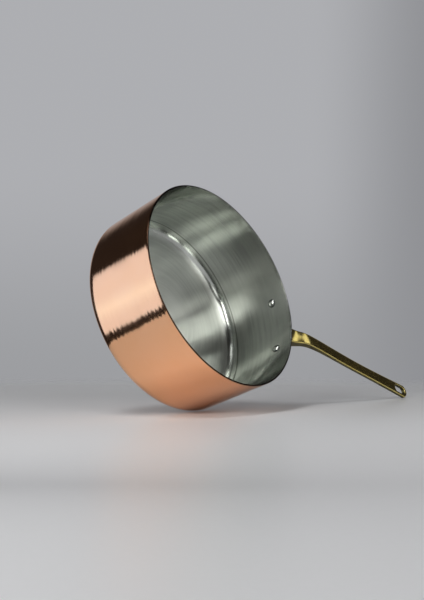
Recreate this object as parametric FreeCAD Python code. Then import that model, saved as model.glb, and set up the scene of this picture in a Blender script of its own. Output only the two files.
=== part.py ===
import FreeCAD, Part
import math
import os

# A round, straight-sided copper saucepan with a bonded metal lining and a cast brass
# handle held by two rivets.  Millimetres.  +Z is up the pan's axis, +X runs out along
# the handle, and the origin is the centre of the base's underside.

# --- driving dimensions -------------------------------------------------------------
RIM_RADIUS = 120.0          # outside, at the mouth
FOOT_RADIUS = 119.1         # outside, where the wall's line meets the base plane
HEIGHT = 98.5               # base to rim
FOOT_ROUND = 15.0           # outside rounding between base and wall
COPPER = 1.5                # copper sheet
LINING = 0.3                # lining bonded inside the copper
RIM_ROUND = 0.5             # softened outer edge of the rim

RIVET_ANGLE = 15.3          # degrees each side of the handle
RIVET_HEIGHT = 76.5
SHANK_RADIUS = 3.0
INNER_HEAD = (5.1, 2.5)     # radius and height of the domed head inside the pan
OUTER_HEAD = (4.6, 1.7)     # radius and height of the peened head on the plate
HEAD_SINK = 0.4             # heads reach this far back before they are trimmed to fit

PLATE = 3.5                 # thickness of the handle's riveted plate
LOBE_RADIUS = 10.5          # plate round each rivet
HUB = (70.5, 19.5)          # height and radius of the plate's middle, under the neck
PLATE_ROUND = 1.0
NECK_ROUND = 4.0            # between neck and plate

HANDLE_END = 397.5          # from the pan's axis to the handle's tip
TIP_HALF_WIDTH = 8.9
EDGE_ROUND = 1.6            # long edges of the handle
ARCH_AXIS = 21.0            # height of the line that the handle's arched section curves round
ARCH_SWEEP = 27.0           # degrees each side that the arched section is swept
ROOT = 112.0                # the neck starts inside the wall and is trimmed to the plate

# Handle outline seen from the side: (distance from the pan's axis, height).
TOP_LINE = [(ROOT, 79.0), (140, 79.0), (154, 79.9), (166, 84.3), (180, 86.0),
            (215, 85.7), (265, 84.9), (320, 85.6), (HANDLE_END + 3, 87.4)]
UNDER_LINE = [(ROOT, 63.3), (140, 64.0), (155, 66.3), (168, 74.5), (182, 78.1),
              (215, 79.8), (265, 79.7), (320, 80.4), (HANDLE_END + 3, 82.1)]
# Handle outline seen from above: (distance from the pan's axis, half width).
SIDE_LINE = [(ROOT, 13.0), (130, 11.4), (152, 9.2), (170, 7.6), (195, 7.1),
             (250, 7.2), (300, 7.2), (345, 7.9), (HANDLE_END - TIP_HALF_WIDTH, TIP_HALF_WIDTH)]

SLOT_CENTRE = 380.5         # hanging slot, from the pan's axis
SLOT_LENGTH = 24.0
SLOT_WIDTH = 10.5
SLOT_ROUND = 0.8

NEAR = 0.01                 # two places closer than this are the same place
Z_AXIS = FreeCAD.Vector(0, 0, 1)
X_AXIS = FreeCAD.Vector(1, 0, 0)


def vec(x, y, z):
    return FreeCAD.Vector(x, y, z)


def wall_radius(height):
    """Outside radius of the pan at a height above the base."""
    return FOOT_RADIUS + (RIM_RADIUS - FOOT_RADIUS) * height / HEIGHT


def cup(inset, top=HEIGHT):
    """The pan's outer form, drawn in by inset on wall, base and foot rounding."""
    form = Part.makeCone(wall_radius(inset) - inset, wall_radius(top) - inset,
                         top - inset, vec(0, 0, inset))
    form.rotate(vec(0, 0, 0), Z_AXIS, 180)
    foot = [e for e in form.Edges if ring_at(e, inset)]
    return form.makeFillet(FOOT_ROUND - inset, foot)


def ring_at(edge, height):
    """Whether an edge is a level ring at the given height."""
    box = edge.BoundBox
    return box.ZLength < NEAR and abs(box.ZMin - height) < NEAR


def copper_body():
    shell = cup(0.0)
    rim = [e for e in shell.Edges if ring_at(e, HEIGHT)]
    return shell.makeFillet(RIM_ROUND, rim).cut(cup(COPPER))


def inner_lining():
    return cup(COPPER).cut(cup(COPPER + LINING))


def spline(points):
    curve = Part.BSplineCurve()
    curve.interpolate(points)
    return curve.toShape()


def neck_and_blade():
    """The side outline swept round a low line, which arches it across, cut to the plan outline."""
    top = [vec(x, 0, z) for x, z in TOP_LINE]
    under = [vec(x, 0, z) for x, z in UNDER_LINE]
    side_wire = Part.Wire([spline(top), Part.makeLine(top[-1], under[-1]),
                           spline(under), Part.makeLine(under[0], top[0])])
    pivot = vec(0, 0, ARCH_AXIS)
    side_face = Part.Face(side_wire)
    side_face.rotate(pivot, X_AXIS, -ARCH_SWEEP)
    side_form = side_face.revolve(pivot, X_AXIS, 2 * ARCH_SWEEP)

    left = [vec(x, y, 0) for x, y in SIDE_LINE]
    right = [vec(x, -y, 0) for x, y in SIDE_LINE]
    tip = Part.Arc(left[-1], vec(HANDLE_END, 0, 0), right[-1]).toShape()
    plan_wire = Part.Wire([spline(left), tip, spline(right), Part.makeLine(right[0], left[0])])
    plan_form = Part.Face(plan_wire).extrude(Z_AXIS * 2 * HEIGHT)
    form = side_form.common(plan_form)
    return form.makeFillet(EDGE_ROUND, long_edges(form))


def long_edges(form):
    """The handle's edges along its length and round its tip, not those at its root."""
    return [e for e in form.Edges if e.BoundBox.XMax > ROOT + NEAR and not is_upright(e)]


def is_upright(edge):
    return edge.BoundBox.XLength < NEAR and edge.BoundBox.YLength < NEAR


def hull_of_circles(circles):
    """A closed outline round (y, z, radius) circles given anticlockwise, in the plane x = 0."""
    edges = []
    count = len(circles)
    turns = [tangent_turn(circles[i], circles[(i + 1) % count]) for i in range(count)]
    for i in range(count):
        y, z, radius = circles[i]
        start = turns[i - 1]
        end = turns[i]
        while end < start:
            end += 2 * math.pi
        a, middle, b = [vec(0, y + radius * math.cos(t), z + radius * math.sin(t))
                        for t in (start, (start + end) / 2, end)]
        edges.append(Part.Arc(a, middle, b).toShape())
        y2, z2, radius2 = circles[(i + 1) % count]
        landing = vec(0, y2 + radius2 * math.cos(turns[i]), z2 + radius2 * math.sin(turns[i]))
        edges.append(Part.makeLine(b, landing))
    return Part.Wire(edges)


def tangent_turn(first, second):
    """Direction, as an angle, from both centres to the outer tangent between two circles."""
    dy = second[0] - first[0]
    dz = second[1] - first[1]
    heading = math.atan2(dz, dy)
    return heading - math.acos((first[2] - second[2]) / math.hypot(dy, dz))


def riveted_plate():
    """The handle's plate: a rounded shield bent to the pan's wall."""
    reach = wall_radius(RIVET_HEIGHT) * math.sin(math.radians(RIVET_ANGLE))
    outline = hull_of_circles([(-reach, RIVET_HEIGHT, LOBE_RADIUS), (0, HUB[0], HUB[1]),
                               (reach, RIVET_HEIGHT, LOBE_RADIUS)])
    prism = Part.Face(outline).extrude(X_AXIS * 2 * RIM_RADIUS)
    bent = outer_form(PLATE).common(prism)
    edges = [e for e in bent.Edges if on_form(e, PLATE)]
    return bent.makeFillet(PLATE_ROUND, edges).cut(outer_form(0.0))


def outer_form(swell):
    """The wall's outer cone, grown by swell, with its seam away from the handle."""
    cone = Part.makeCone(wall_radius(0) + swell, wall_radius(HEIGHT) + swell, HEIGHT)
    cone.rotate(vec(0, 0, 0), Z_AXIS, 180)
    return cone


def on_form(edge, swell):
    """Whether an edge lies on the wall's outer cone grown by swell."""
    points = edge.discretize(5)
    return all(abs(math.hypot(p.x, p.y) - wall_radius(p.z) - swell) < NEAR for p in points)


def hanging_slot():
    """The slot's cutter, upright through the blade near its tip."""
    radius = SLOT_WIDTH / 2
    straight = SLOT_LENGTH - SLOT_WIDTH
    cutter = Part.makeBox(straight, SLOT_WIDTH, HEIGHT, vec(SLOT_CENTRE - straight / 2, -radius, 0))
    for side in (-1, 1):
        end = vec(SLOT_CENTRE + side * straight / 2, 0, 0)
        cutter = cutter.fuse(Part.makeCylinder(radius, HEIGHT, end))
    return cutter.removeSplitter()


def in_slot(edge):
    box = edge.BoundBox
    return box.XMin > SLOT_CENTRE - SLOT_LENGTH and box.YLength < SLOT_WIDTH + NEAR and not is_upright(edge)


def brass_handle():
    blade = neck_and_blade().cut(outer_form(0.0))
    neck_foot = blade.common(outer_form(PLATE))
    handle = blade.fuse(riveted_plate()).removeSplitter()
    join = [e for e in handle.Edges if on_form(e, PLATE) and near_box(e, neck_foot.BoundBox)]
    handle = handle.makeFillet(NECK_ROUND, join).cut(hanging_slot())
    mouth = [e for e in handle.Edges if in_slot(e)]
    return handle.makeFillet(SLOT_ROUND, mouth)


def near_box(edge, box):
    """Whether an edge keeps within a box's span across the handle and in height."""
    edge_box = edge.BoundBox
    across = edge_box.YMin > box.YMin - NEAR and edge_box.YMax < box.YMax + NEAR
    return across and edge_box.ZMin > box.ZMin - NEAR and edge_box.ZMax < box.ZMax + NEAR


def rivet_solid(side):
    """One rivet: domed head inside, shank through wall and plate, peened head outside."""
    inner = wall_radius(RIVET_HEIGHT) - COPPER - LINING
    outer = wall_radius(RIVET_HEIGHT) + PLATE
    shank = Part.makeCylinder(SHANK_RADIUS, outer - inner, vec(inner, 0, 0), X_AXIS)
    heads = [dome(INNER_HEAD, inner, -1), dome(OUTER_HEAD, outer, 1)]
    return placed(shank.multiFuse(heads).removeSplitter(), side)


def dome(size, base, facing):
    """A domed head on the X axis, its flat at base, sunk a little so it can be trimmed."""
    radius, height = size
    back = vec(base - facing * HEAD_SINK, 0, 0)
    rim = vec(base, radius, 0)
    crown = vec(base + facing * height, 0, 0)
    ball = (radius ** 2 + height ** 2) / (2 * height)
    lean = math.asin(radius / ball) / 2
    centre = base + facing * (height - ball)
    middle = vec(centre + facing * ball * math.cos(lean), ball * math.sin(lean), 0)
    outline = Part.Wire([Part.makeLine(back, back + vec(0, radius, 0)),
                         Part.makeLine(back + vec(0, radius, 0), rim),
                         Part.Arc(rim, middle, crown).toShape(),
                         Part.makeLine(crown, back)])
    return Part.Face(outline).revolve(vec(0, 0, 0), X_AXIS, 360)


def placed(shape, side):
    """Turn a shape built on the X axis to the left (+1) or right (-1) rivet's place."""
    shape.translate(vec(0, 0, RIVET_HEIGHT))
    shape.rotate(vec(0, 0, 0), Z_AXIS, side * RIVET_ANGLE)
    return shape


def rivet_hole(side):
    return placed(Part.makeCylinder(SHANK_RADIUS, RIM_RADIUS, vec(RIM_RADIUS / 2, 0, 0), X_AXIS), side)


def build():
    holes = [rivet_hole(1), rivet_hole(-1)]
    body = copper_body().cut(holes)
    lining = inner_lining().cut(holes)
    handle = brass_handle().cut(holes)
    parts = {"copper_body": body, "inner_lining": lining, "brass_handle": handle}
    for name, side in (("rivet_left", 1), ("rivet_right", -1)):
        parts[name] = rivet_solid(side).cut([lining, handle])
    return parts


os.makedirs("parts", exist_ok=True)
for node, shape in build().items():
    shape.exportStep("parts/" + node + ".step")
    print(node, "solids", len(shape.Solids), "valid", shape.isValid(), "cm3", round(shape.Volume / 1000, 2))
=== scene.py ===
"""Looks for the copper saucepan: pan and handle meshes, their materials, studio and camera.

Metres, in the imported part's frame: +Z is the pan's axis and +X runs out along the handle.
The pan lies tipped on its foot and on the handle's tip, so the studio has its own up.
"""
import math

import bpy
from mathutils import Matrix, Vector

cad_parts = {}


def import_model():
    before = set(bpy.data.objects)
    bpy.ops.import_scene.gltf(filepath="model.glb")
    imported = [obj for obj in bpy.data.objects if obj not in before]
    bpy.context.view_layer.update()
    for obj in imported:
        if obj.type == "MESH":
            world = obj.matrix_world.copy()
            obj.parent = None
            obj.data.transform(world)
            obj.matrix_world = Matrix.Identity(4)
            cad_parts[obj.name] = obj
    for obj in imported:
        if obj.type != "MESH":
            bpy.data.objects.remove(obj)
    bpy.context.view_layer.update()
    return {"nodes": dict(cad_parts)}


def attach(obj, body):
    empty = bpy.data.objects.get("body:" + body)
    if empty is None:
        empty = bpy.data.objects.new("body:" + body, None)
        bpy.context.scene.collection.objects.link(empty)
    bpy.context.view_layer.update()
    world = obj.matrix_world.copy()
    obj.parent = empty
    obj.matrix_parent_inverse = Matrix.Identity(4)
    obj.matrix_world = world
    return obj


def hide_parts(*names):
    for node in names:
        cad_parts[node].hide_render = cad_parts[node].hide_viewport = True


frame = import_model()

BODY = "root"
MM = 0.001

# --- the pan's form, as the CAD has it ------------------------------------------------
RIM_RADIUS = 120.0 * MM
FOOT_RADIUS = 119.1 * MM
HEIGHT = 98.5 * MM
FOOT_ROUND = 15.0 * MM
COPPER = 1.5 * MM
LINING = 0.3 * MM
WALL_LEAN = (RIM_RADIUS - FOOT_RADIUS) / HEIGHT
WALL_SLOPE = math.hypot(1.0, WALL_LEAN)

# --- finer forms of the meshes made here ------------------------------------------------
RIM_ROUND = 0.5 * MM            # copper's outer edge at the rim
LINING_EDGE = 0.12 * MM         # lining's inner edge at the rim
GROOVE_DEPTH = 0.18 * MM        # groove in the lining, low on the wall
GROOVE_HEIGHT = 14.2 * MM
GROOVE_WIDTH = 1.6 * MM
LIP_HEIGHT = 0.05 * MM          # lip in the lining, above the groove
LIP_PLACE = 18.5 * MM
LIP_WIDTH = 1.6 * MM
RIDGE_FROM = 112.0 * MM         # groove and lip lie outside this radius

# --- how finely those meshes are divided -------------------------------------------------
SEGMENTS = 320
BASE_STEPS = 16
ROUND_STEPS = 20
LEDGE = 24.0 * MM               # height below which the wall has closer rings
LOW_WALL_STEPS = 28
WALL_STEPS = 24
EDGE_STEPS = 5
CORNER_RING = 0.5 * MM          # extra ring on the base, this far inside the rounded corner
ON_AXIS = 1e-7
SHARP_ANGLE = math.radians(35)

# --- where the metal's finish changes ----------------------------------------------------
WAVE_SIZE = 5.0 * MM            # spacing of the slow waves left by polishing
CORNER_FADE = 6.0 * MM          # over which they die out beside the rounded corner
RIM_SHADE_DEPTH = 0.9 * MM             # depth of the painted shade, a dark band at the copper's rim
BASE_HAZE_TOP = 6.0 * MM        # height below which the lining has its base's finish
BASE_ROUGHNESS = 0.36
PAINTED_LINE_HEIGHT = 15.9 * MM         # height of a painted dark line round the lining, painted shade
PAINTED_LINE_HALF_WIDTH = 1.3 * MM
BRASS_POLISH_AND_SHADE = (0.15, 0.75)   # how far up a face points, from duller brass darkened with painted shade to fully polished
RIVET_EDGE = (0.70, 0.90)       # how far a face points along the rivet, from painted shade at the head's edge to none

# --- colours, in pairs where a surface drifts between two ---------------------------------
COPPER_COLOURS = ((0.95, 0.515, 0.285, 1.0), (0.955, 0.53, 0.305, 1.0))
COPPER_LINE = (0.93, 0.48, 0.25, 1.0)
# painted shade for the dark band at the copper's rim
COPPER_RIM_SHADE = (0.16, 0.085, 0.055, 1.0)
LINING_COLOURS = ((0.55, 0.57, 0.535, 1.0), (0.60, 0.62, 0.585, 1.0))
LINING_BASE = (0.72, 0.74, 0.70, 1.0)
LINING_MARK = (0.36, 0.38, 0.355, 1.0)
# painted shade for the dark line round the lining
LINING_PAINTED_LINE = (0.16, 0.165, 0.155, 1.0)
BRASS_COLOURS = ((0.83, 0.69, 0.25, 1.0), (0.78, 0.61, 0.18, 1.0))
# duller cast brass for the sides and underneath, darkened as painted shade
DULL_SHADED_BRASS_COLOURS = ((0.20, 0.17, 0.075, 1.0), (0.13, 0.105, 0.04, 1.0))
RIVET_COLOURS = ((0.66, 0.68, 0.65, 1.0), (0.50, 0.52, 0.49, 1.0))
# painted shade round the edge of each rivet head
RIVET_EDGE_SHADE = (0.07, 0.075, 0.07, 1.0)

# --- the camera, where the photographer stood ------------------------------------------
CAMERA_PLACE = Vector((-0.65794, -0.54039, 0.63626))
CAMERA_RIGHT = Vector((0.66795, -0.04741, 0.74269))
CAMERA_UP = Vector((-0.36123, 0.85187, 0.37926))
LENS = 54.70

# --- the studio: up from the floor, right and forward as the camera sees them ----------
STUDIO_UP = Vector((-0.3325, 0.8738, 0.3548)).normalized()
STUDIO_RIGHT = (CAMERA_RIGHT - CAMERA_RIGHT.dot(STUDIO_UP) * STUDIO_UP).normalized()
STUDIO_FORWARD = STUDIO_UP.cross(STUDIO_RIGHT)


# ======================================================================================
# node helpers
# ======================================================================================
def add(tree, kind, inputs=None, **settings):
    """A new node, with its settings made and its inputs set or linked."""
    node = tree.nodes.new(kind)
    for key, value in settings.items():
        setattr(node, key, value)
    for key, value in (inputs or {}).items():
        if isinstance(value, bpy.types.NodeSocket):
            tree.links.new(value, node.inputs[key])
        else:
            node.inputs[key].default_value = value
    return node


def math_node(tree, operation, *values):
    node = add(tree, "ShaderNodeMath", dict(enumerate(values)), operation=operation)
    return node.outputs[0]


def vector_node(tree, operation, *values):
    node = add(tree, "ShaderNodeVectorMath", dict(enumerate(values)), operation=operation)
    return node.outputs["Value" if operation in ("DOT_PRODUCT", "LENGTH") else "Vector"]


def scaled(tree, vector, amount):
    node = add(tree, "ShaderNodeVectorMath", {0: vector, "Scale": amount}, operation="SCALE")
    return node.outputs["Vector"]


def ramp(tree, value, low, high, start=0.0, end=1.0):
    """value from low to high, carried smoothly to start to end."""
    inputs = {"Value": value, "From Min": low, "From Max": high, "To Min": start, "To Max": end}
    node = add(tree, "ShaderNodeMapRange", inputs, interpolation_type="SMOOTHSTEP")
    return node.outputs["Result"]


def blend(tree, share, first, second):
    """The first colour where share is 0, the second where it is 1."""
    node = add(tree, "ShaderNodeMix", {0: share, 6: first, 7: second}, data_type="RGBA")
    return node.outputs[2]


def blend_value(tree, share, first, second):
    """The first number where share is 0, the second where it is 1."""
    node = add(tree, "ShaderNodeMix", {0: share, 2: first, 3: second}, data_type="FLOAT")
    return node.outputs[0]


def noise(tree, vector, scale, detail=2.0, roughness=0.5):
    inputs = {"Vector": vector, "Scale": scale, "Detail": detail, "Roughness": roughness}
    return add(tree, "ShaderNodeTexNoise", inputs).outputs[0]


def place(tree):
    return add(tree, "ShaderNodeTexCoord").outputs["Object"]


def level_place(tree):
    """The place with its height taken out."""
    return vector_node(tree, "MULTIPLY", place(tree), (1.0, 1.0, 0.0))


def height(tree):
    """Height above the underside of the pan's base."""
    return add(tree, "ShaderNodeSeparateXYZ", {0: place(tree)}).outputs[2]


def axis_distance(tree):
    """Distance from the pan's axis."""
    return vector_node(tree, "LENGTH", level_place(tree))


def outwards(tree):
    """The level direction away from the pan's axis."""
    return vector_node(tree, "NORMALIZE", level_place(tree))


def smooth_normal(tree):
    """The surface's own normal, before any bump."""
    return add(tree, "ShaderNodeTexCoord").outputs["Normal"]


def bump(tree, shader, relief, depth):
    """Raise a shader's surface by up to depth where relief is 1."""
    node = add(tree, "ShaderNodeBump", {"Strength": 1.0, "Distance": depth, "Height": relief})
    tree.links.new(node.outputs[0], shader.inputs["Normal"])


def new_material(name):
    """(material, tree, its Principled shader)"""
    material = bpy.data.materials.new(name)
    material.use_nodes = True
    tree = material.node_tree
    return material, tree, tree.nodes["Principled BSDF"]


# ======================================================================================
# materials
# ======================================================================================
def ring_coordinates(tree, around, across):
    """Coordinates that change slowly round the pan's axis and fast along its profile."""
    x, y, z = add(tree, "ShaderNodeSeparateXYZ", {0: place(tree)}).outputs
    along = math_node(tree, "SUBTRACT", z, axis_distance(tree))
    inputs = {0: math_node(tree, "MULTIPLY", x, around),
              1: math_node(tree, "MULTIPLY", y, around),
              2: math_node(tree, "MULTIPLY", along, across)}
    return add(tree, "ShaderNodeCombineXYZ", inputs).outputs[0]


def off_corner(tree):
    """1 on the flat base and the straight wall, 0 in the rounded corner between them."""
    wall = ramp(tree, height(tree), FOOT_ROUND, FOOT_ROUND + CORNER_FADE)
    flat = FOOT_RADIUS - FOOT_ROUND
    base = ramp(tree, axis_distance(tree), flat - CORNER_FADE, flat, 1.0, 0.0)
    return math_node(tree, "MAXIMUM", wall, base)


def turned_normal(tree, sideways_value, sideways_lean, along_value, along_lean):
    """The surface's normal, leaning round the pan's axis and along its profile as the two
    values leave a half."""
    normal = add(tree, "ShaderNodeNewGeometry").outputs["Normal"]
    sideways = vector_node(tree, "CROSS_PRODUCT", (0.0, 0.0, 1.0), outwards(tree))
    along = vector_node(tree, "CROSS_PRODUCT", normal, sideways)
    leaning = normal
    for value, amount, way in ((sideways_value, sideways_lean, sideways),
                               (along_value, along_lean, along)):
        lean = math_node(tree, "MULTIPLY", math_node(tree, "SUBTRACT", value, 0.5), amount)
        leaning = vector_node(tree, "ADD", leaning, scaled(tree, way, lean))
    return vector_node(tree, "NORMALIZE", leaning)


def spun_metal(name, groove_lean, groove_size, wave_lean, roughness, anisotropy):
    """A metal turned round the pan's axis: (material, tree, shader, groove noise)."""
    material, tree, shader = new_material(name)
    shader.inputs["Metallic"].default_value = 1.0
    shader.inputs["Anisotropic"].default_value = anisotropy
    shader.inputs["Anisotropic Rotation"].default_value = 0.25
    tangent = add(tree, "ShaderNodeTangent", direction_type="RADIAL", axis="Z")
    tree.links.new(tangent.outputs[0], shader.inputs["Tangent"])

    groove_place = ring_coordinates(tree, around=7.0, across=1.0 / groove_size)
    grooves = noise(tree, groove_place, 1.0, 1.0, 0.5)
    wave_place = ring_coordinates(tree, around=3.0, across=1.0 / WAVE_SIZE)
    waves = noise(tree, wave_place, 1.0, 2.0, 0.5)
    waves = blend_value(tree, off_corner(tree), 0.5, waves)
    lean = turned_normal(tree, grooves, groove_lean, waves, wave_lean)
    tree.links.new(lean, shader.inputs["Normal"])

    haze = noise(tree, place(tree), 35.0, 4.0, 0.6)
    rough = ramp(tree, haze, 0.3, 0.7, roughness * 0.85, roughness * 1.2)
    tree.links.new(rough, shader.inputs["Roughness"])
    return material, tree, shader, grooves


def copper_material():
    """Polished copper with fine lines round it, and a dark band of painted shade at the very rim."""
    material, tree, shader, grooves = spun_metal(
        "copper", groove_lean=0.07, groove_size=2.6 * MM, wave_lean=0.01,
        roughness=0.13, anisotropy=0.7)
    patches = noise(tree, place(tree), 22.0, 3.0, 0.55)
    polished = blend(tree, ramp(tree, patches, 0.35, 0.65), *COPPER_COLOURS)
    lines = ramp(tree, grooves, 0.3, 0.7, 0.0, 0.10)
    colour = blend(tree, lines, polished, COPPER_LINE)
    # painted shade: the very rim darkened
    rim = ramp(tree, height(tree), HEIGHT - RIM_SHADE_DEPTH, HEIGHT - RIM_SHADE_DEPTH * 0.5)
    colour = blend(tree, rim, colour, COPPER_RIM_SHADE)
    tree.links.new(colour, shader.inputs["Base Color"])
    return material


def lining_material():
    """Grey metal brushed in rings, paler and duller on the base, with a painted dark line of shade
    above it.
    """
    material, tree, shader, _ = spun_metal(
        "lining", groove_lean=0.045, groove_size=2.4 * MM, wave_lean=0.06,
        roughness=0.19, anisotropy=0.80)
    patches = noise(tree, place(tree), 30.0, 2.0, 0.5)
    on_wall = blend(tree, ramp(tree, patches, 0.3, 0.7), *LINING_COLOURS)
    on_base = ramp(tree, height(tree), BASE_HAZE_TOP, BASE_HAZE_TOP * 0.4)
    plain_tone = blend(tree, on_base, on_wall, LINING_BASE)

    streaks = noise(tree, ring_coordinates(tree, around=14.0, across=300.0), 1.0, 2.0, 0.6)
    wear = ramp(tree, noise(tree, place(tree), 14.0, 1.0, 0.5), 0.35, 0.65, 0.15, 0.6)
    wear = math_node(tree, "MULTIPLY", wear, ramp(tree, on_base, 0.0, 1.0, 1.0, 0.5))
    marks = math_node(tree, "MULTIPLY", ramp(tree, streaks, 0.35, 0.7), wear)
    marked = blend(tree, marks, plain_tone, LINING_MARK)

    # painted shade: a dark line round the lining, low on the wall
    off = math_node(tree, "ABSOLUTE", math_node(tree, "SUBTRACT", height(tree), PAINTED_LINE_HEIGHT))
    painted_line = ramp(tree, off, PAINTED_LINE_HALF_WIDTH * 0.3, PAINTED_LINE_HALF_WIDTH, 0.8, 0.0)
    tree.links.new(blend(tree, painted_line, marked, LINING_PAINTED_LINE), shader.inputs["Base Color"])

    wall_rough = shader.inputs["Roughness"].links[0].from_socket
    rough = blend_value(tree, on_base, wall_rough, BASE_ROUGHNESS)
    tree.links.new(rough, shader.inputs["Roughness"])
    return material


def brass_material():
    """Cast brass, polished on top and duller on its sides and underneath, which are also darkened as
    painted shade.
    """
    material, tree, shader = new_material("brass")
    shader.inputs["Metallic"].default_value = 1.0
    cast = noise(tree, place(tree), 60.0, 4.0, 0.6)
    polished = blend(tree, ramp(tree, cast, 0.35, 0.7), *BRASS_COLOURS)
    tarnish = noise(tree, place(tree), 140.0, 3.0, 0.6)
    # colour of the sides and underside: duller cast brass, darkened as painted shade
    dull_shaded = blend(tree, ramp(tree, tarnish, 0.3, 0.7), *DULL_SHADED_BRASS_COLOURS)
    facing_up = add(tree, "ShaderNodeSeparateXYZ", {0: smooth_normal(tree)}).outputs[2]
    # one mask for both: polish on top, painted shade on the sides and underneath
    polish_and_shade = ramp(tree, facing_up, *BRASS_POLISH_AND_SHADE)
    tree.links.new(blend(tree, polish_and_shade, dull_shaded, polished), shader.inputs["Base Color"])
    shine = ramp(tree, cast, 0.3, 0.7, 0.13, 0.20)
    tree.links.new(blend_value(tree, polish_and_shade, 0.34, shine), shader.inputs["Roughness"])
    ripple = noise(tree, place(tree), 90.0, 2.0, 0.5)
    fine = noise(tree, place(tree), 1400.0, 2.0, 0.5)
    relief = math_node(tree, "ADD", ripple, math_node(tree, "MULTIPLY", fine, 0.02))
    bump(tree, shader, relief, 0.10 * MM)
    return material


def rivet_material():
    """Worn steel, with painted shade round the edge of each head."""
    material, tree, shader = new_material("rivet_steel")
    shader.inputs["Metallic"].default_value = 1.0
    worn = noise(tree, place(tree), 500.0, 3.0, 0.6)
    plain_tone = blend(tree, ramp(tree, worn, 0.35, 0.7), *RIVET_COLOURS)
    along = vector_node(tree, "DOT_PRODUCT", smooth_normal(tree), outwards(tree))
    facing = math_node(tree, "ABSOLUTE", along)
    # painted shade where the head meets the wall
    colour = blend(tree, ramp(tree, facing, *RIVET_EDGE), RIVET_EDGE_SHADE, plain_tone)
    tree.links.new(colour, shader.inputs["Base Color"])
    tree.links.new(ramp(tree, worn, 0.3, 0.7, 0.16, 0.30), shader.inputs["Roughness"])
    bump(tree, shader, worn, 0.08 * MM)
    return material


# ======================================================================================
# pan meshes
# ======================================================================================
def wall_radius(level):
    """Radius of the pan's outer form at a height, with the wall carried on down."""
    return FOOT_RADIUS + WALL_LEAN * level


def spaced(start, end, count):
    """count + 1 points from start to end."""
    return [tuple(a + (b - a) * i / count for a, b in zip(start, end)) for i in range(count + 1)]


def arc(centre, radius, first, last, count):
    """Points of an arc in the (radius, height) plane, angles in radians."""
    points = []
    for i in range(count + 1):
        turn = first + (last - first) * i / count
        points.append((centre[0] + radius * math.cos(turn), centre[1] + radius * math.sin(turn)))
    return points


def cup_profile(inset, top):
    """Base, rounded corner and wall of the pan's form drawn in by inset, from the axis to top."""
    corner = FOOT_ROUND - inset
    centre = (wall_radius(FOOT_ROUND) - inset - corner * WALL_SLOPE, FOOT_ROUND)
    bend = arc(centre, corner, -math.pi / 2, -math.atan(WALL_LEAN), ROUND_STEPS)
    base = spaced((0.0, inset), bend[0], BASE_STEPS)[:-1]
    near_corner = (bend[0][0] - CORNER_RING, inset)
    ledge = (wall_radius(LEDGE) - inset, LEDGE)
    low_wall = spaced(bend[-1], ledge, LOW_WALL_STEPS)[1:]
    wall = spaced(ledge, (wall_radius(top) - inset, top), WALL_STEPS)[1:]
    return base + [near_corner] + bend + low_wall + wall


def rim_round(inset, radius):
    """The rounded outer edge at the rim of the form drawn in by inset, going inwards."""
    level = HEIGHT - radius
    centre = (wall_radius(level) - inset - radius * WALL_SLOPE, level)
    return arc(centre, radius, -math.atan(WALL_LEAN), math.pi / 2, EDGE_STEPS)


def inner_rim_round(inset, radius):
    """The rounded inner edge at the rim, going down into the pan."""
    level = HEIGHT - radius
    centre = (wall_radius(level) - inset + radius, level)
    return arc(centre, radius, math.pi / 2, math.pi, EDGE_STEPS)


def revolved(name, profile):
    """A closed solid of revolution round Z from a profile that starts and ends on the axis."""
    rings = [(r, z) for r, z in profile if r > ON_AXIS]
    verts = [(r * math.cos(2 * math.pi * i / SEGMENTS), r * math.sin(2 * math.pi * i / SEGMENTS), z)
             for r, z in rings for i in range(SEGMENTS)]
    faces = []
    for ring in range(len(rings) - 1):
        for i in range(SEGMENTS):
            j = (i + 1) % SEGMENTS
            low, high = ring * SEGMENTS, (ring + 1) * SEGMENTS
            faces.append((low + i, low + j, high + j, high + i))
    for pole, ring, flip in ((profile[0], 0, True), (profile[-1], len(rings) - 1, False)):
        verts.append((0.0, 0.0, pole[1]))
        tip = len(verts) - 1
        for i in range(SEGMENTS):
            a, b = ring * SEGMENTS + i, ring * SEGMENTS + (i + 1) % SEGMENTS
            faces.append((b, a, tip) if flip else (a, b, tip))
    return shaded(name, verts, faces)


def shaded(name, verts, faces):
    """A mesh object, smooth but for its sharp edges."""
    mesh = bpy.data.meshes.new(name)
    mesh.from_pydata(verts, [], faces)
    mesh.validate()
    mesh.shade_smooth()
    mesh.set_sharp_from_angle(angle=SHARP_ANGLE)
    piece = bpy.data.objects.new(name, mesh)
    bpy.context.scene.collection.objects.link(piece)
    return piece


def finished(piece, material, replaced=None):
    """Give a piece its material and its body, and hide the CAD node it stands for."""
    piece.data.materials.clear()
    piece.data.materials.append(material)
    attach(piece, BODY)
    if replaced:
        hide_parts(replaced)
    return piece


def copper_shell():
    """The copper pan body: outside up to the rim, then back down inside it."""
    outside = cup_profile(0.0, HEIGHT - RIM_ROUND)[:-1] + rim_round(0.0, RIM_ROUND)
    inside = cup_profile(COPPER, HEIGHT)
    return revolved("copper_pan", outside + list(reversed(inside)))


def ridge(level):
    """How far out the lining is from its plain form where the wall runs into the corner."""
    groove = GROOVE_DEPTH * math.exp(-((level - GROOVE_HEIGHT) / GROOVE_WIDTH) ** 2)
    lip = LIP_HEIGHT * math.exp(-((level - LIP_PLACE) / LIP_WIDTH) ** 2)
    return groove - lip


def lining_shell():
    """The lining inside the copper, with its groove and lip."""
    outside = cup_profile(COPPER, HEIGHT)
    inside = cup_profile(COPPER + LINING, HEIGHT - LINING_EDGE)[:-1]
    inside = [(r + (ridge(z) if r > RIDGE_FROM else 0.0), z) for r, z in inside]
    edge = inner_rim_round(COPPER + LINING, LINING_EDGE)
    return revolved("steel_lining", outside + edge + list(reversed(inside)))


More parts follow.
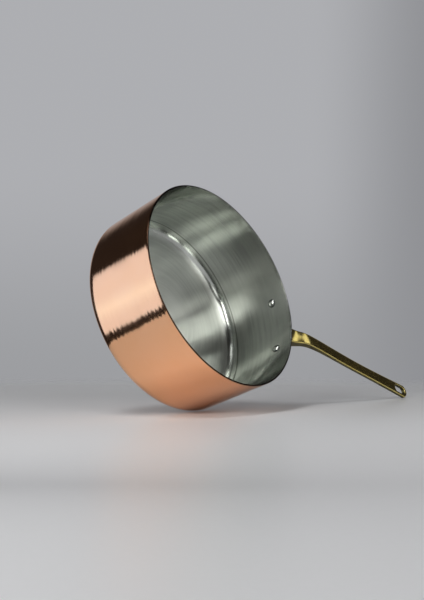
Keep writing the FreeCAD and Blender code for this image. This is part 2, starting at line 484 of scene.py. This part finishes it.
# ======================================================================================
# studio
# ======================================================================================
def studio_direction(azimuth, elevation):
    """A direction azimuth degrees to the right of forward and elevation degrees up."""
    a, e = math.radians(azimuth), math.radians(elevation)
    level = math.cos(a) * STUDIO_FORWARD + math.sin(a) * STUDIO_RIGHT
    return math.cos(e) * level + math.sin(e) * STUDIO_UP


def softbox(tree, direction, azimuth, elevation, half_width, half_height, soft, colour):
    """Light of a rectangular panel far away, as colour over the world's directions."""
    middle = studio_direction(azimuth, elevation)
    across = middle.cross(STUDIO_UP).normalized()
    upward = across.cross(middle)
    depth = vector_node(tree, "DOT_PRODUCT", direction, tuple(middle))
    share = math_node(tree, "GREATER_THAN", depth, PANEL_FACING)
    for axis, half in ((across, half_width), (upward, half_height)):
        offset = math_node(tree, "DIVIDE", vector_node(tree, "DOT_PRODUCT", direction, tuple(axis)),
                           math_node(tree, "MAXIMUM", depth, PANEL_FACING))
        far = math_node(tree, "ABSOLUTE", offset)
        edge = math.tan(math.radians(half))
        fade = math.tan(math.radians(soft))
        share = math_node(tree, "MULTIPLY", share, ramp(tree, far, edge - fade, edge + fade, 1.0, 0.0))
    return scaled(tree, colour, share)


# cosine of the widest angle from its middle at which a far panel is worked out
PANEL_FACING = 0.05

SOFTBOXES = (
    # azimuth, elevation, half width, half height and softness in degrees, then colour
    (-97, 3, 19.0, 23.5, 1.2, (0.90, 1.06, 1.36)),
    (-97, -2, 26.0, 3.0, 9.0, (0.20, 0.36, 0.42)),
    (5, 5, 40.0, 22.0, 12.0, (0.36, 0.36, 0.37)),
    (88, 29, 10.5, 13.0, 2.0, (0.95, 0.95, 0.92)),
    (131, 6, 10.0, 8.0, 3.0, (1.7, 1.7, 1.65)),
    (173, 4, 8.0, 5.0, 3.0, (2.0, 2.0, 1.95)),
    (150, 31, 16.0, 9.0, 3.0, (2.9, 2.9, 2.8)),
    (-146, 24, 10.0, 10.0, 3.0, (8.5, 8.5, 8.4)),
    (-149, 67, 6.0, 12.0, 2.0, (10.0, 10.0, 9.8)),
)
AMBIENT = (0.02, 0.018, 0.018)

# the paper backdrop: sines of the elevations and azimuths over which it changes, its colours; lighter
# higher up and darker to the right, as painted light and shade
BACKDROP_RISE = (-0.05, 0.19)
BACKDROP_LOW = (0.335, 0.34, 0.355, 1.0)
BACKDROP_HIGH = (0.42, 0.425, 0.445, 1.0)
BACKDROP_TURN = (0.10, 0.24)
BACKDROP_SHADED_SIDE = (0.28, 0.284, 0.30, 1.0)


def world():
    """Pale grey to the camera, with painted light and shade across it; soft panels in dark
    surroundings to everything else.
    """
    made = bpy.data.worlds.new("studio")
    bpy.context.scene.world = made
    made.use_nodes = True
    tree = made.node_tree
    tree.nodes.clear()
    direction = add(tree, "ShaderNodeTexCoord").outputs["Generated"]

    light = add(tree, "ShaderNodeCombineXYZ", dict(enumerate(AMBIENT))).outputs[0]
    for box in SOFTBOXES:
        light = vector_node(tree, "ADD", light, softbox(tree, direction, *box))

    rise = vector_node(tree, "DOT_PRODUCT", direction, tuple(STUDIO_UP))
    side = vector_node(tree, "DOT_PRODUCT", direction, tuple(STUDIO_RIGHT))
    # painted light and shade on the backdrop: lighter higher up, darker to the right
    paper = blend(tree, ramp(tree, rise, *BACKDROP_RISE), BACKDROP_LOW, BACKDROP_HIGH)
    backdrop = blend(tree, ramp(tree, side, *BACKDROP_TURN), paper, BACKDROP_SHADED_SIDE)
    seen = add(tree, "ShaderNodeBackground", {"Color": backdrop})
    lit = add(tree, "ShaderNodeBackground", {"Color": light})
    path = add(tree, "ShaderNodeLightPath")
    either = add(tree, "ShaderNodeMixShader", {0: path.outputs["Is Camera Ray"],
                                               1: lit.outputs[0], 2: seen.outputs[0]})
    add(tree, "ShaderNodeOutputWorld", {"Surface": either.outputs[0]})
    made.cycles.sampling_method = "MANUAL"
    made.cycles.sample_map_resolution = 2048


# the floor, in metres from the pan's origin
FLOOR_REACH = 2.5                 # half its side
FLOOR_LEFT = -0.19                # it is missing from reflections further left than this
FLOOR_MIDDLE = 0.35               # middle of the part that shows, this far towards the camera
FLOOR_SEEN = (0.70, 1.35)         # it fades into the backdrop between these distances
FLOOR_CHANGE = (-0.35, 0.45)      # its colour goes from near to far between these, forward, as painted light falling off
# painted light and shade: the floor paler near the camera and darker far off
FLOOR_LIT_NEAR = ((0.85, 0.855, 0.88, 1.0), (0.87, 0.875, 0.90, 1.0))
FLOOR_SHADED_FAR = (0.575, 0.58, 0.595, 1.0)
FLOOR_ROUGHNESS = 0.34


def floor_material():
    """Pale floor, seen only from above, painted paler near the camera and darker far off as light and
    shade, that fades into the backdrop with distance.
    """
    material, tree, shader = new_material("floor")
    spot = place(tree)
    speckle = noise(tree, spot, 300.0, 2.0, 0.5)
    away = vector_node(tree, "DOT_PRODUCT", spot, tuple(STUDIO_FORWARD))
    near = blend(tree, speckle, *FLOOR_LIT_NEAR)
    # painted light and shade: paler near, darker far
    colour = blend(tree, ramp(tree, away, *FLOOR_CHANGE), near, FLOOR_SHADED_FAR)
    tree.links.new(colour, shader.inputs["Base Color"])
    shader.inputs["Roughness"].default_value = FLOOR_ROUGHNESS

    from_middle = vector_node(tree, "ADD", spot, tuple(FLOOR_MIDDLE * STUDIO_FORWARD))
    faded = ramp(tree, vector_node(tree, "LENGTH", from_middle), *FLOOR_SEEN)
    sideways = vector_node(tree, "DOT_PRODUCT", spot, tuple(STUDIO_RIGHT))
    beyond = math_node(tree, "LESS_THAN", sideways, FLOOR_LEFT)
    path = add(tree, "ShaderNodeLightPath")
    clear = blend_value(tree, path.outputs["Is Camera Ray"], beyond, faded)
    below = add(tree, "ShaderNodeNewGeometry").outputs["Backfacing"]
    clear = math_node(tree, "MAXIMUM", clear, below)
    nothing = add(tree, "ShaderNodeBsdfTransparent")
    mixed = add(tree, "ShaderNodeMixShader", {0: clear, 1: shader.outputs[0],
                                              2: nothing.outputs[0]})
    tree.links.new(mixed.outputs[0], tree.nodes["Material Output"].inputs["Surface"])
    return material


def studio_floor(pieces):
    """A flat floor that just touches the lowest points of the tipped pan: its height."""
    level = min(STUDIO_UP.dot(v.co) for piece in pieces for v in piece.data.vertices)
    middle = STUDIO_UP * level
    corners = [middle + FLOOR_REACH * (i * STUDIO_RIGHT + j * STUDIO_FORWARD)
               for i, j in ((-1, -1), (1, -1), (1, 1), (-1, 1))]
    floor = shaded("floor", [tuple(c) for c in corners], [(0, 1, 2, 3)])
    floor.data.materials.append(floor_material())
    return level


# the near lamp panel: metres forward, to the right and up from the floor
PANEL_FORWARD = -0.55
PANEL_RIGHT = (-0.145, -0.05)
PANEL_UP = (0.22, 0.52)
PANEL_COLOUR = (1.0, 1.0, 0.97, 1.0)
PANEL_LIGHT = 8.5


def panel_material():
    """A glowing panel that the camera doesn't see and that casts no shadow."""
    material, tree, _ = new_material("lamp_panel")
    glow = add(tree, "ShaderNodeEmission", {"Color": PANEL_COLOUR, "Strength": PANEL_LIGHT})
    nothing = add(tree, "ShaderNodeBsdfTransparent")
    path = add(tree, "ShaderNodeLightPath")
    clear = math_node(tree, "MAXIMUM", path.outputs["Is Camera Ray"], path.outputs["Is Shadow Ray"])
    mixed = add(tree, "ShaderNodeMixShader", {0: clear, 1: glow.outputs[0], 2: nothing.outputs[0]})
    tree.links.new(mixed.outputs[0], tree.nodes["Material Output"].inputs["Surface"])
    return material


def lamp_panel(floor_level):
    """An upright panel that stands over the floor on the camera's side of the pan."""
    low, high = (STUDIO_UP * (floor_level + up) + STUDIO_FORWARD * PANEL_FORWARD for up in PANEL_UP)
    left, right = (STUDIO_RIGHT * side for side in PANEL_RIGHT)
    corners = [tuple(c) for c in (low + left, low + right, high + right, high + left)]
    panel = shaded("lamp_panel", corners, [(0, 1, 2, 3)])
    panel.data.materials.append(panel_material())


def camera():
    """The camera, at the place and turn given at the top."""
    data = bpy.data.cameras.new("camera")
    data.lens = LENS
    data.clip_start = 0.01
    data.clip_end = 50.0
    made = bpy.data.objects.new("camera", data)
    bpy.context.scene.collection.objects.link(made)
    right = CAMERA_RIGHT.normalized()
    back = right.cross(CAMERA_UP).normalized()
    up = back.cross(right)
    turn = Matrix((right, up, back)).transposed().to_4x4()
    made.matrix_world = Matrix.Translation(CAMERA_PLACE) @ turn
    bpy.context.scene.camera = made


def main():
    nodes = frame["nodes"]
    pan = finished(copper_shell(), copper_material(), "copper_body")
    finished(lining_shell(), lining_material(), "inner_lining")

    brass = brass_material()
    steel = rivet_material()
    for name, material in (("brass_handle", brass), ("rivet_left", steel), ("rivet_right", steel)):
        nodes[name].data.materials.clear()
        nodes[name].data.materials.append(material)

    world()
    lamp_panel(studio_floor([pan, nodes["brass_handle"]]))
    camera()
    bpy.context.scene.view_settings.view_transform = "Standard"


main()
